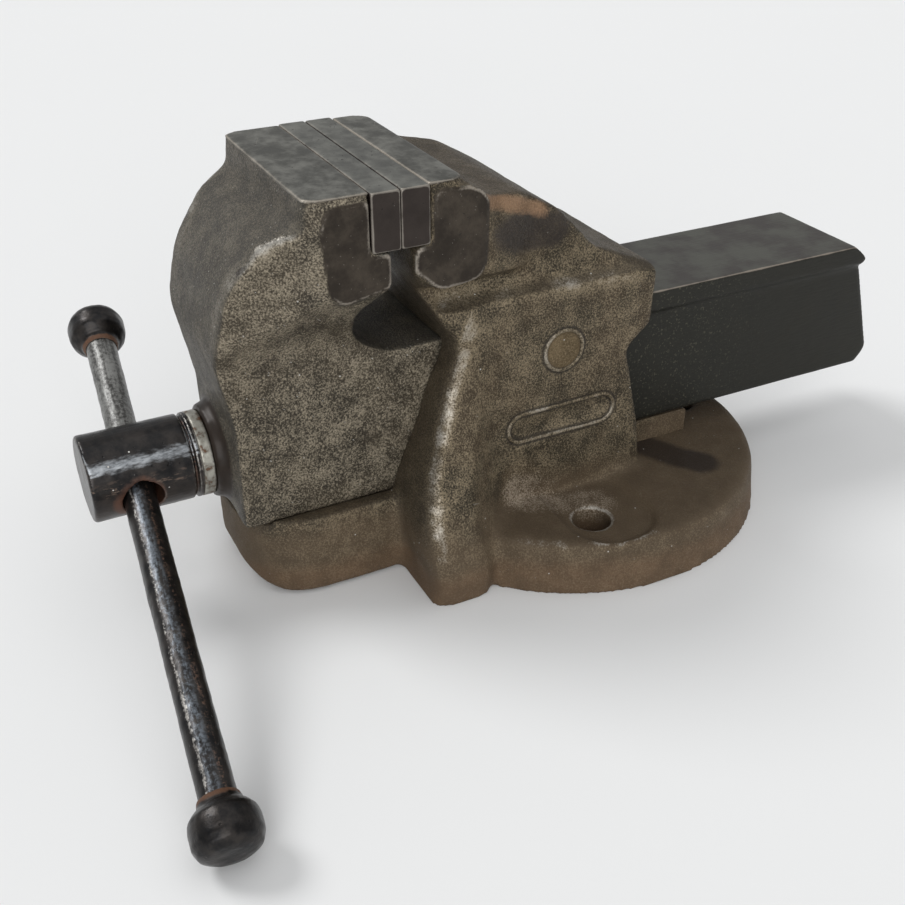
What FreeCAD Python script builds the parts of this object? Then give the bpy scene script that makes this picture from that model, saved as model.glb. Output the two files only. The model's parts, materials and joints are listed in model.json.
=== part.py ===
import FreeCAD, Part
import math
import os

# Bench vise with plain parallel jaws, built as separate pieces.
# Millimetres. +Z is up, the jaws are wide along X, the screw head faces -Y and the
# slide runs back to +Y. The origin is the centre of the round base, on its underside.

V = FreeCAD.Vector

# ---- jaws and jaw plates ----
JAW_WIDTH = 127.0
JAW_TOP = 232.0
JAW_LINE = -134.0            # y of the plane where the closed jaws meet
JAW_TRAVEL = 165.0           # how far the front jaw opens
PLATE_THICKNESS = 15.2
PLATE_HEIGHT = 30.0
PLATE_GAP = 0.2              # left between the two plates when closed
CHEEK_INSET = 1.5            # the castings stop this far inside the plates' ends
PAD_GAP = 1.2                # between a plate's back and the ground pad beside it
PLATE_SCREW_SPACING = 76.0
PLATE_SCREW_R = 5.0
PLATE_SCREW_HEAD_R = 10.0
PLATE_SCREW_LENGTH = 32.0
DRIVER_SLOT_WIDTH = 1.8
DRIVER_SLOT_DEPTH = 2.2

# ---- slide, a hollow bar that is one casting with the front jaw ----
SLIDE_HALF = 36.5
SLIDE_TOP = 135.5
SLIDE_BOTTOM = 47.0
SLIDE_REAR = 224.0
SLIDE_SLANT = 30.0           # the top edge ends this far short of the bottom edge
SLIDE_ROOF = 14.5
SLIDE_WALL = 10.0
WEB_STEP = 3.0               # the side webs behind the body are this far under the roof's edge
WEB_START = -60.0
SLIDE_CLEARANCE = 0.4
PLATEAU_STEP = 15.0          # height of the flat jaw tops above the shoulders behind them
PLATEAU_FRONT = 32.2         # depth of the front jaw's flat top behind its plate
PLATEAU_REAR = 19.2
PLATEAU_ROUND = 12.0         # radius of the flat tops' corners seen from above
FRONT_FACE = -218.0
FRONT_WALL = 22.0

# ---- base and body ----
BASE_R = 126.0
BASE_TOP_R = 121.5
BASE_THICKNESS = 31.0
BASE_HOLLOW_R = 96.0
BASE_HOLLOW_DEPTH = 12.0
BODY_HALF = 55.0
BODY_TOP = 160.0
BODY_REAR = 25.0
APRON_HALF = 47.0
APRON_FRONT = -218.0
APRON_RIM = 50.0
APRON_FOOT = 1.5             # the apron's underside clears the bench by this much
NECK_HALF = 49.0

# ---- bolting down ----
BOLT_HOLE_R = 11.0
SIDE_BOLT_X = 88.0
SIDE_BOLT_Y = -30.0
REAR_BOLT_Y = 93.0
SPOT_FACE_DEPTH = 2.5
SPOT_FACE_FRONT = 18.0       # the spot face's reach from the bolt hole's centre
SPOT_FACE_OUT = 29.0
SPOT_FACE_REAR = 37.0
BOLT_PAD_R = 22.0            # solid iron left round each bolt hole in the hollow underside
CENTRE_PAD_R = 16.0          # and at the middle of the base

# ---- screw ----
SCREW_Z = 80.3
THREAD_R = 14.0
SCREW_LEAD = 6.0
SCREW_FIT = 0.05             # radial clearance of a running fit
SCREW_SPARE = 39.0           # thread left beyond the nut with the jaws fully open
HEAD_R = 23.4
HEAD_FRONT = -291.0
HEAD_CHAMFER = 1.2
HEAD_REAR = -237.5
NECK_R = 21.5
NECK_LENGTH = 2.0
COLLAR_FORGED_LENGTH = 2.5
SIDE_GAP = 0.3               # left between a turning face and a fixed one
WASHER_R = 23.4
BOSS_FACE = -226.5
BOSS_R = 26.5
SHANK_R = 15.0
SHANK_END = -140.0

# ---- take-up spring and its retainer, behind the front wall ----
SEAT_WASHER_R = 24.0
SEAT_WASHER_THICKNESS = 3.0
SPRING_WIRE_R = 2.0
SPRING_COIL_R = 18.5
SPRING_TURNS = 4
SPRING_LENGTH = 24.0
COLLAR_R = 22.0
COLLAR_LENGTH = 14.0
COLLAR_PIN_R = 3.0

# ---- nut ----
NUT_HALF = 21.0
NUT_FRONT = -84.0
NUT_LENGTH = 58.0
NUT_TOP = 104.0
NUT_BOLT_R = 6.0
NUT_BOLT_HEX = 19.0          # across flats
NUT_BOLT_HEAD = 7.5
NUT_BOLT_SPACING = 34.0
NUT_BOLT_GRIP = 14.0         # length of thread inside the nut
NUT_WASHER_R = 12.0
NUT_WASHER_THICKNESS = 2.5
NUT_DOWEL_R = 4.0
NUT_DOWEL_X = 13.0
NUT_DOWEL_LENGTH = 16.0

# ---- slide keeper ----
KEEPER_HALF = 33.0
KEEPER_LENGTH = 50.0
KEEPER_GAP = 4.5             # between the keeper and the back of the body
KEEPER_SCREW_R = 4.0
KEEPER_SCREW_HEAD_R = 6.5
KEEPER_SCREW_HEAD = 5.0
KEEPER_SCREW_SPACING = 38.0
KEEPER_SCREW_LENGTH = 22.0
KEEPER_SOCKET_ACROSS = 6.0

# ---- tommy bar ----
BAR_R = 8.6
BAR_DROP = 17.4              # degrees below level towards +X
BAR_LEAN = -4.7              # degrees towards -Y, taken up by the play in the hole
BAR_HOLE_R = 11.0
BAR_HOLE_Y = -265.5
KNOB_R = 16.0
KNOB_LENGTH = 22.0
KNOB_SKIRT = 5.0
LOWER_KNOB_AT = 210.5        # knob centres along the bar, from the screw's axis
UPPER_KNOB_AT = -110.0
KNOB_CAP = 6.0               # solid end of a knob beyond the bar

PLATE_BOTTOM = JAW_TOP - PLATE_HEIGHT
FRONT_SEAT = JAW_LINE - PLATE_GAP / 2 - PLATE_THICKNESS
REAR_SEAT = JAW_LINE + PLATE_GAP / 2 + PLATE_THICKNESS
CHEEK_HALF = JAW_WIDTH / 2 - CHEEK_INSET
FLOOR = SLIDE_BOTTOM - SLIDE_CLEARANCE
INSIDE_WALL = FRONT_FACE + FRONT_WALL
SCREW_END = NUT_FRONT + NUT_LENGTH + JAW_TRAVEL + SCREW_SPARE
TURN = {"x": (V(1, 1, 1), 120), "y": (V(1, 0, 0), 90), "z": (V(0, 0, 1), 0)}


# ---- shape helpers ----

def outline(corners):
    """Closed wire in the XY plane through corners (u, v) or (u, v, radius)."""
    points = [V(corner[0], corner[1], 0) for corner in corners]
    radii = [corner[2] if len(corner) > 2 else 0 for corner in corners]
    rounds = []
    for i, point in enumerate(points):
        before = points[i - 1] - point
        after = points[(i + 1) % len(points)] - point
        half = before.getAngle(after) / 2
        cut = min(radii[i] / math.tan(half), 0.48 * before.Length, 0.48 * after.Length)
        radius = cut * math.tan(half)
        before.normalize()
        after.normalize()
        start = point + before * cut
        end = point + after * cut
        if cut < 1e-6:
            rounds.append((point, None, point))
            continue
        middle = (before + after).normalize() * (radius / math.sin(half) - radius)
        rounds.append((start, point + middle, end))
    edges = []
    for i, (start, middle, end) in enumerate(rounds):
        edges.append(Part.makeLine(rounds[i - 1][2], start))
        if middle:
            edges.append(Part.Arc(start, middle, end).toShape())
    return Part.Wire(edges)


def prism(corners, axis, low, high):
    """Outline in (y, z), (x, z) or (x, y), drawn out along the axis from low to high."""
    if axis == "y":
        low, high = -high, -low
    solid = Part.Face(outline(corners)).extrude(V(0, 0, high - low))
    solid.translate(V(0, 0, low))
    direction, angle = TURN[axis]
    solid.rotate(V(0, 0, 0), direction, angle)
    return solid


def both_sides(right):
    """Corners of an outline that is the same on both sides of x = 0."""
    return right + [(-corner[0],) + tuple(corner[1:]) for corner in reversed(right)]


def box(x_low, x_high, y_low, y_high, z_low, z_high):
    return Part.makeBox(x_high - x_low, y_high - y_low, z_high - z_low, V(x_low, y_low, z_low))


def rod_y(radius, y_low, y_high, x=0.0, z=SCREW_Z):
    return Part.makeCylinder(radius, y_high - y_low, V(x, y_low, z), V(0, 1, 0))


def rod_z(radius, z_low, z_high, x, y):
    return Part.makeCylinder(radius, z_high - z_low, V(x, y, z_low), V(0, 0, 1))


def common(first, *others):
    for other in others:
        first = first.common(other)
    return first


def turned(profile, start, direction):
    """Solid of revolution: profile is (distance along direction, radius)."""
    points = [V(radius, 0, along) for along, radius in profile]
    wire = Part.makePolygon(points + [points[0]])
    solid = Part.Face(wire).revolve(V(0, 0, 0), V(0, 0, 1), 360)
    solid.Placement = FreeCAD.Placement(start, FreeCAD.Rotation(V(0, 0, 1), direction))
    return solid


# ---- castings ----

def body_section(height, front, flare):
    """Level outline of the cheeks round the slide, with the flange that flares at the front."""
    proud = flare - BODY_HALF
    flange = 15 + 0.45 * proud
    blend = 10 + 0.75 * proud
    right = [(flare, front, 10), (flare, front + flange, 8),
             (BODY_HALF, front + flange + blend, 18), (BODY_HALF, BODY_REAR + 2, 5)]
    wire = outline(both_sides(right))
    wire.translate(V(0, 0, height))
    return wire


def body_cheeks():
    """Walls round the slide: a smooth flare at the front, a hollowed edge at the back."""
    sections = [(0, JAW_LINE + 3, BODY_HALF + 36), (31, JAW_LINE + 2, BODY_HALF + 34.5),
                (52, JAW_LINE + 2.5, BODY_HALF + 28), (76, JAW_LINE + 11, BODY_HALF + 18),
                (99, JAW_LINE + 20, BODY_HALF + 9), (120, JAW_LINE + 28, BODY_HALF + 4),
                (136, JAW_LINE + 33, BODY_HALF + 2.5), (148, JAW_LINE + 29, BODY_HALF + 2),
                (BODY_TOP, JAW_LINE + 22, BODY_HALF + 1.5)]
    cheeks = Part.makeLoft([body_section(*section) for section in sections], True, False)
    rear = BODY_REAR
    hollow = [(rear + 9, 20), (rear + 2, 34, 8), (rear - 5, 71, 30), (rear - 16, 113, 9),
              (rear, 127, 5), (rear, BODY_TOP + 9), (rear + 9, BODY_TOP + 9)]
    return cheeks.cut(prism(hollow, "x", -BASE_R, BASE_R))


def neck_profile():
    """Static jaw from the side: plate seat, flat top, then the back falling to the cheeks."""
    return [(JAW_LINE + 28, BODY_TOP - 12), (JAW_LINE + 6, PLATE_BOTTOM - 14, 8),
            (JAW_LINE + 7, PLATE_BOTTOM, 1.5), (REAR_SEAT, PLATE_BOTTOM), (REAR_SEAT, JAW_TOP),
            (REAR_SEAT + PLATEAU_REAR, JAW_TOP, 3), (REAR_SEAT + 25.7, JAW_TOP - 7, 5),
            (REAR_SEAT + 34.7, JAW_TOP - 13, 8), (REAR_SEAT + 56.7, JAW_TOP - 16, 25),
            (JAW_LINE + 98, JAW_TOP - 31, 40), (-10, BODY_TOP + 15, 20),
            (10, BODY_TOP + 6.5, 20), (BODY_REAR, BODY_TOP + 1), (BODY_REAR, BODY_TOP - 12)]


def static_neck():
    side_view = prism(neck_profile(), "x", -BODY_HALF - 5, BODY_HALF + 5)
    front_view = both_sides([(BODY_HALF, BODY_TOP - 14), (BODY_HALF, BODY_TOP - 1.5, 3),
                             (NECK_HALF - 6, BODY_TOP + 7, 9), (NECK_HALF, BODY_TOP + 40, 25),
                             (NECK_HALF, JAW_TOP + 1)])
    return common(side_view, prism(front_view, "y", JAW_LINE, BODY_REAR + 1))


def plateau_surround(far):
    """What lies round the rounded corners of a jaw's flat top, between the jaw line and far."""
    level = JAW_TOP - PLATEAU_STEP
    top = prism(both_sides([(CHEEK_HALF, JAW_LINE), (CHEEK_HALF, far, PLATEAU_ROUND)]), "z",
                level, JAW_TOP + 2)
    around = box(-CHEEK_HALF - 1, CHEEK_HALF + 1, min(JAW_LINE, far), max(JAW_LINE, far),
                 level, JAW_TOP + 2)
    return around.cut(top)


def static_head():
    """The wide end of the static jaw, which carries the plate."""
    side_view = prism(neck_profile(), "x", -CHEEK_HALF - 5, CHEEK_HALF + 5)
    top_view = both_sides([(CHEEK_HALF, JAW_LINE), (CHEEK_HALF, JAW_LINE + 48, 10),
                           (NECK_HALF - 2, JAW_LINE + 84, 20)])
    front_view = both_sides([(NECK_HALF - 8, JAW_TOP - 62), (CHEEK_HALF - 3, JAW_TOP - 54, 6),
                             (CHEEK_HALF, JAW_TOP - 46, 5), (CHEEK_HALF, JAW_TOP + 1)])
    head = common(side_view, prism(top_view, "z", BODY_TOP, JAW_TOP + 1),
                  prism(front_view, "y", JAW_LINE, BODY_REAR))
    return head.cut(plateau_surround(REAR_SEAT + PLATEAU_REAR + 2))


def static_pad():
    """Ground flat on the jaw's end, outlined in (y, z)."""
    return [(REAR_SEAT + 2.7, PLATE_BOTTOM + 3, 1), (REAR_SEAT + PAD_GAP, PLATE_BOTTOM - 1),
            (JAW_LINE + 9, PLATE_BOTTOM - 2, 1), (JAW_LINE + 6, PLATE_BOTTOM - 12, 7),
            (JAW_LINE + 20, JAW_TOP - 56, 12), (REAR_SEAT + 30.7, JAW_TOP - 53, 9),
            (REAR_SEAT + 31.7, JAW_TOP - 8, 8), (REAR_SEAT + 20.7, JAW_TOP - 4, 6),
            (REAR_SEAT + 2.7, JAW_TOP - 4, 5)]


def front_pad():
    return [(JAW_LINE - 5.5, PLATE_BOTTOM - 2, 1), (FRONT_SEAT - PAD_GAP, PLATE_BOTTOM - 2, 1),
            (FRONT_SEAT - PAD_GAP, JAW_TOP - 4, 2), (FRONT_SEAT - 20.7, JAW_TOP - 5, 7),
            (FRONT_SEAT - 25.7, JAW_TOP - 12, 5), (JAW_LINE - 36, JAW_TOP - 55, 8),
            (JAW_LINE - 5, JAW_TOP - 49, 6)]


def both_pads(corners):
    """A pair of end flats, standing out of the casting to the plate's own width."""
    right = prism(corners, "x", CHEEK_HALF - 4, JAW_WIDTH / 2)
    return [right, right.mirror(V(0, 0, 0), V(1, 0, 0))]


def base_disc():
    disc = Part.makeCone(BASE_R, BASE_TOP_R, BASE_THICKNESS)
    rims = [edge for edge in disc.Edges if isinstance(edge.Curve, Part.Circle)]
    top_rim = max(rims, key=lambda edge: edge.CenterOfMass.z)
    return disc.makeFillet(5, [top_rim])


def bolt_places():
    return [(SIDE_BOLT_X, SIDE_BOLT_Y), (-SIDE_BOLT_X, SIDE_BOLT_Y), (0, REAR_BOLT_Y)]


def base_underside():
    """The hollow under the base, which leaves a rim, a middle pad and a pad round each bolt."""
    hollow = rod_z(BASE_HOLLOW_R, -1, BASE_HOLLOW_DEPTH, 0, 0)
    pads = [rod_z(BOLT_PAD_R, -2, BASE_HOLLOW_DEPTH + 1, x, y) for x, y in bolt_places()]
    pads.append(rod_z(CENTRE_PAD_R, -2, BASE_HOLLOW_DEPTH + 1, 0, 0))
    return hollow.cut(pads)


def spot_face(side):
    """Flat cut into the base round a side bolt, open to the cheek."""
    front, rear = SIDE_BOLT_Y - SPOT_FACE_FRONT, SIDE_BOLT_Y + SPOT_FACE_REAR
    outer = SIDE_BOLT_X + SPOT_FACE_OUT
    corners = [(BODY_HALF, front + 1), (outer, front, 24), (outer, rear, 32),
               (BODY_HALF, rear - 4, 10)]
    flat = prism(corners, "z", BASE_THICKNESS - SPOT_FACE_DEPTH, BASE_THICKNESS + 20)
    if side < 0:
        flat = flat.mirror(V(0, 0, 0), V(1, 0, 0))
    return flat


def apron():
    """Tongue under the sliding jaw: a shallow trough that guides the slide."""
    side_view = [(APRON_FRONT, APRON_FOOT, 22), (APRON_FRONT, APRON_RIM, 3),
                 (JAW_LINE + 30, APRON_RIM), (JAW_LINE + 30, APRON_FOOT)]
    top_view = both_sides([(APRON_HALF, APRON_FRONT, 40), (APRON_HALF, JAW_LINE + 30)])
    return common(prism(side_view, "x", -APRON_HALF, APRON_HALF),
                  prism(top_view, "z", 0, APRON_RIM))


def slide_tunnel():
    half = SLIDE_HALF + SLIDE_CLEARANCE
    return box(-half, half, APRON_FRONT - 5, BODY_REAR + KEEPER_LENGTH + 40,
               FLOOR, SLIDE_TOP + SLIDE_CLEARANCE)


def nut_bolt_places():
    middle = NUT_FRONT + NUT_LENGTH / 2
    return [(0, middle - NUT_BOLT_SPACING / 2), (0, middle + NUT_BOLT_SPACING / 2)]


def nut_dowel_places():
    middle = NUT_FRONT + NUT_LENGTH / 2
    return [(-NUT_DOWEL_X, middle), (NUT_DOWEL_X, middle)]


def plate_screw_places():
    height = PLATE_BOTTOM + PLATE_HEIGHT / 2
    return [(-PLATE_SCREW_SPACING / 2, height), (PLATE_SCREW_SPACING / 2, height)]


def keeper_screw_places():
    middle = BODY_REAR + KEEPER_LENGTH / 2
    return [(-KEEPER_SCREW_SPACING / 2, middle), (KEEPER_SCREW_SPACING / 2, middle)]


def keeper_seat():
    """Height at which a keeper screw's head starts, sunk below the sliding face."""
    return FLOOR - KEEPER_SCREW_HEAD - 1.5


def side_marks():
    """Blank raised ring and blank sunk label on the cheek."""
    ring_y, ring_z, ring_r = -34.0, 122.5, 12.0
    ring = Part.makeCylinder(ring_r, 2, V(BODY_HALF - 1.2, ring_y, ring_z), V(1, 0, 0))
    ring = ring.cut(Part.makeCylinder(ring_r - 1.4, 2, V(BODY_HALF - 0.7, ring_y, ring_z),
                                      V(1, 0, 0)))
    length, height, tilt = 72.0, 20.0, 8.0
    middle = V(BODY_HALF, -33.0, 79.0)
    slots = []
    for grow, depth in ((0.0, 1.0), (-1.6, 1.6)):
        u, v = length / 2 + grow, height / 2 + grow
        corners = [(-u, -v, v - 0.1), (u, -v, v - 0.1), (u, v, v - 0.1), (-u, v, v - 0.1)]
        slot = prism(corners, "x", -depth, depth)
        slot.rotate(V(0, 0, 0), V(1, 0, 0), tilt)
        slot.translate(middle)
        slots.append(slot)
    return ring, slots


def static_body():
    ring, (label, label_field) = side_marks()
    pieces = [body_cheeks(), static_neck(), static_head(), apron(), ring, label]
    body = base_disc().multiFuse(pieces + both_pads(static_pad()))
    body = body.cut([slide_tunnel(), base_underside(), spot_face(1), spot_face(-1),
                     label_field])
    cuts = [rod_z(BOLT_HOLE_R, -1, BASE_THICKNESS + 5, x, y) for x, y in bolt_places()]
    for x, y in nut_bolt_places():
        cuts.append(rod_z(NUT_BOLT_R, 0, FLOOR + 1, x, y))
    for x, y in nut_dowel_places():
        cuts.append(rod_z(NUT_DOWEL_R, FLOOR - NUT_DOWEL_LENGTH / 2, FLOOR + 1, x, y))
    for x, y in keeper_screw_places():
        cuts.append(rod_z(KEEPER_SCREW_R, keeper_seat() - KEEPER_SCREW_LENGTH, FLOOR, x, y))
    for x, z in plate_screw_places():
        cuts.append(rod_y(PLATE_SCREW_R, REAR_SEAT - 1,
                          REAR_SEAT - PLATE_THICKNESS + PLATE_SCREW_LENGTH, x, z))
    return body.cut(cuts).removeSplitter()


def slide_bar():
    """Hollow slide, open underneath, with a roof that overhangs its webs behind the body."""
    top_rear = SLIDE_REAR - SLIDE_SLANT
    side_view = [(FRONT_FACE, SLIDE_BOTTOM), (FRONT_FACE, SLIDE_TOP), (top_rear, SLIDE_TOP, 5),
                 (top_rear + 11, SLIDE_TOP - 9, 4), (top_rear + 9, SLIDE_TOP - SLIDE_ROOF, 1),
                 (SLIDE_REAR, SLIDE_BOTTOM + 10, 8), (SLIDE_REAR - 8, SLIDE_BOTTOM, 4)]
    bar = prism(side_view, "x", -SLIDE_HALF, SLIDE_HALF)
    inside = SLIDE_HALF - SLIDE_WALL
    cavity = both_sides([(inside, SLIDE_BOTTOM - 1), (inside, SLIDE_TOP - SLIDE_ROOF, 10)])
    bar = bar.cut(prism(cavity, "y", INSIDE_WALL, SLIDE_REAR + 1))
    web_face = SLIDE_HALF - WEB_STEP
    step = prism([(web_face, SLIDE_BOTTOM - 1), (web_face, SLIDE_TOP - SLIDE_ROOF, 2),
                  (SLIDE_HALF + 1, SLIDE_TOP - SLIDE_ROOF + 2), (SLIDE_HALF + 1, SLIDE_BOTTOM - 1)],
                 "y", WEB_START, SLIDE_REAR + 1)
    return bar.cut([step, step.mirror(V(0, 0, 0), V(1, 0, 0))])


def front_jaw_profile():
    """Front jaw from the side: plate seat, flat top, bulging front, flat lower face, throat."""
    return [(FRONT_SEAT, JAW_TOP), (FRONT_SEAT, PLATE_BOTTOM), (JAW_LINE - 5, PLATE_BOTTOM, 1.5),
            (JAW_LINE - 5, JAW_TOP - 49, 4), (JAW_LINE - 19, JAW_TOP - 66, 12),
            (JAW_LINE - 16, JAW_TOP - 88, 20), (JAW_LINE + 6, SLIDE_TOP - 1, 12),
            (JAW_LINE + 6, SLIDE_TOP - 10), (INSIDE_WALL, SLIDE_TOP - 10),
            (INSIDE_WALL, SLIDE_BOTTOM), (FRONT_FACE, SLIDE_BOTTOM),
            (FRONT_FACE, SLIDE_TOP - 25, 25), (FRONT_FACE - 8, SLIDE_TOP + 18, 45),
            (FRONT_FACE, SLIDE_TOP + 50, 38), (FRONT_FACE + 18, JAW_TOP - 22, 22),
            (FRONT_SEAT - PLATEAU_FRONT - 1.5, JAW_TOP - PLATEAU_STEP, 4),
            (FRONT_SEAT - PLATEAU_FRONT, JAW_TOP, 2)]


def front_jaw_head():
    side_view = prism(front_jaw_profile(), "x", -CHEEK_HALF - 5, CHEEK_HALF + 5)
    top_view = both_sides([(CHEEK_HALF, JAW_LINE + 8), (CHEEK_HALF, JAW_LINE - 43, 14),
                           (SLIDE_HALF + 13, FRONT_FACE + 20, 26),
                           (SLIDE_HALF + 5, FRONT_FACE - 14, 10)])
    front_view = both_sides([(SLIDE_HALF, SLIDE_BOTTOM), (SLIDE_HALF, SLIDE_TOP + 12, 30),
                             (CHEEK_HALF - 9, JAW_TOP - 62, 14), (CHEEK_HALF, JAW_TOP - 50, 8),
                             (CHEEK_HALF, JAW_TOP + 1)])
    head = common(side_view, prism(top_view, "z", SLIDE_BOTTOM, JAW_TOP + 1),
                  prism(front_view, "y", FRONT_FACE - 20, JAW_LINE + 8))
    return head.cut(plateau_surround(FRONT_SEAT - PLATEAU_FRONT - 2))


def sliding_jaw():
    boss = rod_y(BOSS_R, BOSS_FACE, INSIDE_WALL)
    jaw = slide_bar().multiFuse([front_jaw_head(), boss] + both_pads(front_pad()))
    cuts = [rod_y(SHANK_R + SCREW_FIT, BOSS_FACE - 1, INSIDE_WALL + 1)]
    for x, z in plate_screw_places():
        cuts.append(rod_y(PLATE_SCREW_R, FRONT_SEAT + PLATE_THICKNESS - PLATE_SCREW_LENGTH,
                          FRONT_SEAT + 1, x, z))
    return jaw.cut(cuts).removeSplitter()


# ---- jaw plates and their screws ----

def countersink(x, z, face, inward):
    """Cone of a countersunk head whose wide end lies on the plane y = face."""
    depth = PLATE_SCREW_HEAD_R - PLATE_SCREW_R
    return Part.makeCone(PLATE_SCREW_HEAD_R, PLATE_SCREW_R, depth, V(x, face, z), V(0, inward, 0))


def jaw_plate(face, inward):
    """Plate with its gripping face on y = face and its back in the direction inward."""
    back = face + inward * PLATE_THICKNESS
    corners = [(min(face, back), PLATE_BOTTOM, 0.8), (max(face, back), PLATE_BOTTOM, 0.8),
               (max(face, back), JAW_TOP, 1.2), (min(face, back), JAW_TOP, 1.2)]
    plate = prism(corners, "x", -JAW_WIDTH / 2, JAW_WIDTH / 2)
    for x, z in plate_screw_places():
        plate = plate.cut([rod_y(PLATE_SCREW_R, min(face, back) - 1, max(face, back) + 1, x, z),
                           countersink(x, z, face, inward)])
    return plate


def plate_screws(face, inward):
    screws = []
    for x, z in plate_screw_places():
        shank = Part.makeCylinder(PLATE_SCREW_R, PLATE_SCREW_LENGTH - 1, V(x, face, z),
                                  V(0, inward, 0))
        screw = shank.fuse(countersink(x, z, face, inward))
        depth = inward * DRIVER_SLOT_DEPTH
        slot = box(x - PLATE_SCREW_HEAD_R, x + PLATE_SCREW_HEAD_R, min(face, face + depth),
                   max(face, face + depth), z - DRIVER_SLOT_WIDTH / 2, z + DRIVER_SLOT_WIDTH / 2)
        screws.append(screw.cut(slot).removeSplitter())
    return Part.makeCompound(screws)


# ---- screw, washer, spring and retainer ----

def washer_rear():
    return BOSS_FACE - SIDE_GAP


def washer_front():
    return HEAD_REAR + NECK_LENGTH + COLLAR_FORGED_LENGTH


def collar_front():
    return INSIDE_WALL + SEAT_WASHER_THICKNESS + SIDE_GAP + SPRING_LENGTH


def main_screw():
    profile = [(HEAD_FRONT, 0), (HEAD_FRONT, HEAD_R - HEAD_CHAMFER),
               (HEAD_FRONT + HEAD_CHAMFER, HEAD_R), (HEAD_REAR, HEAD_R), (HEAD_REAR, NECK_R),
               (HEAD_REAR + NECK_LENGTH, NECK_R), (HEAD_REAR + NECK_LENGTH, HEAD_R),
               (washer_front(), HEAD_R), (washer_front(), SHANK_R), (SHANK_END, SHANK_R),
               (SHANK_END + 3, THREAD_R), (SCREW_END - 3, THREAD_R),
               (SCREW_END, THREAD_R - 3), (SCREW_END, 0)]
    screw = turned(profile, V(0, 0, SCREW_Z), V(0, 1, 0))
    hole = Part.makeCylinder(BAR_HOLE_R, 4 * HEAD_R, bar_point(-2 * HEAD_R, square=True),
                             bar_direction(square=True))
    pin_middle = collar_front() + COLLAR_LENGTH / 2
    pin_hole = rod_z(COLLAR_PIN_R, SCREW_Z - 30, SCREW_Z + 30, 0, pin_middle)
    return screw.cut([hole, pin_hole])


def ring(outer, inner, y_low, y_high):
    return rod_y(outer, y_low, y_high).cut(rod_y(inner, y_low - 1, y_high + 1))


def take_up_spring():
    """Coil round the screw, whose bottom and top turns stop just short of its neighbours."""
    free = SPRING_LENGTH - 2 * SPRING_WIRE_R - 1
    pitch = free / SPRING_TURNS
    helix = Part.makeHelix(pitch, free, SPRING_COIL_R)
    circle = Part.makeCircle(SPRING_WIRE_R, V(SPRING_COIL_R, 0, 0), V(0, 1, 0))
    coil = Part.Wire(helix).makePipeShell([Part.Wire(circle)], True, True)
    coil.rotate(V(0, 0, 0), V(1, 0, 0), -90)
    start = INSIDE_WALL + SEAT_WASHER_THICKNESS + SIDE_GAP + SPRING_WIRE_R + 0.5
    coil.translate(V(0, start, SCREW_Z))
    return coil


def retaining_collar():
    low = collar_front()
    collar = ring(COLLAR_R, SHANK_R, low, low + COLLAR_LENGTH)
    return collar.cut(rod_z(COLLAR_PIN_R, SCREW_Z - 30, SCREW_Z + 30, 0, low + COLLAR_LENGTH / 2))


def collar_pin():
    return rod_z(COLLAR_PIN_R, SCREW_Z - COLLAR_R + 1, SCREW_Z + COLLAR_R - 1, 0,
                 collar_front() + COLLAR_LENGTH / 2)


# ---- nut and its fastenings ----

def main_nut():
    rear = NUT_FRONT + NUT_LENGTH
    nut = prism(both_sides([(NUT_HALF, FLOOR, 2), (NUT_HALF, NUT_TOP, 9)]), "y", NUT_FRONT, rear)
    cuts = [rod_y(THREAD_R + SCREW_FIT, NUT_FRONT - 1, rear + 1)]
    for x, y in nut_bolt_places():
        cuts.append(rod_z(NUT_BOLT_R, FLOOR - 1, FLOOR + NUT_BOLT_GRIP + 1, x, y))
    for x, y in nut_dowel_places():
        cuts.append(rod_z(NUT_DOWEL_R, FLOOR - 1, FLOOR + NUT_DOWEL_LENGTH / 2, x, y))
    return nut.cut(cuts)


def hexagon(x, y, z, across, height):
    corner = across / math.sqrt(3)
    corners = [(corner * math.cos(math.radians(60 * i)), corner * math.sin(math.radians(60 * i)))
               for i in range(6)]
    head = prism(corners, "z", 0, height)
    head.translate(V(x, y, z))
    return head


def nut_bolts():
    """Bolts up from the hollow underside of the base."""
    seat = BASE_HOLLOW_DEPTH - NUT_WASHER_THICKNESS
    bolts = []
    for x, y in nut_bolt_places():
        shank = rod_z(NUT_BOLT_R, seat - 1, FLOOR + NUT_BOLT_GRIP, x, y)
        head = hexagon(x, y, seat - NUT_BOLT_HEAD, NUT_BOLT_HEX, NUT_BOLT_HEAD)
        bolts.append(shank.fuse(head).removeSplitter())
    return Part.makeCompound(bolts)


def nut_bolt_washers():
    seat = BASE_HOLLOW_DEPTH
    washers = []
    for x, y in nut_bolt_places():
        disc = rod_z(NUT_WASHER_R, seat - NUT_WASHER_THICKNESS, seat, x, y)
        washers.append(disc.cut(rod_z(NUT_BOLT_R, 0, seat + 1, x, y)))
    return Part.makeCompound(washers)


def nut_dowels():
    half = NUT_DOWEL_LENGTH / 2
    return Part.makeCompound([rod_z(NUT_DOWEL_R, FLOOR - half, FLOOR + half, x, y)
                              for x, y in nut_dowel_places()])


# ---- slide keeper ----

def slide_keeper():
    """Block bolted to the back of the body, which the slide rides over."""
    front, rear = BODY_REAR + KEEPER_GAP, BODY_REAR + KEEPER_LENGTH
    block = prism([(front, BASE_THICKNESS), (front, FLOOR), (rear, FLOOR, 2),
                   (rear, BASE_THICKNESS)], "x", -KEEPER_HALF, KEEPER_HALF)
    cuts = []
    for x, y in keeper_screw_places():
        cuts.append(rod_z(KEEPER_SCREW_R, BASE_THICKNESS - 1, FLOOR + 1, x, y))
        cuts.append(rod_z(KEEPER_SCREW_HEAD_R, keeper_seat(), FLOOR + 1, x, y))
    return block.cut(cuts)


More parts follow.
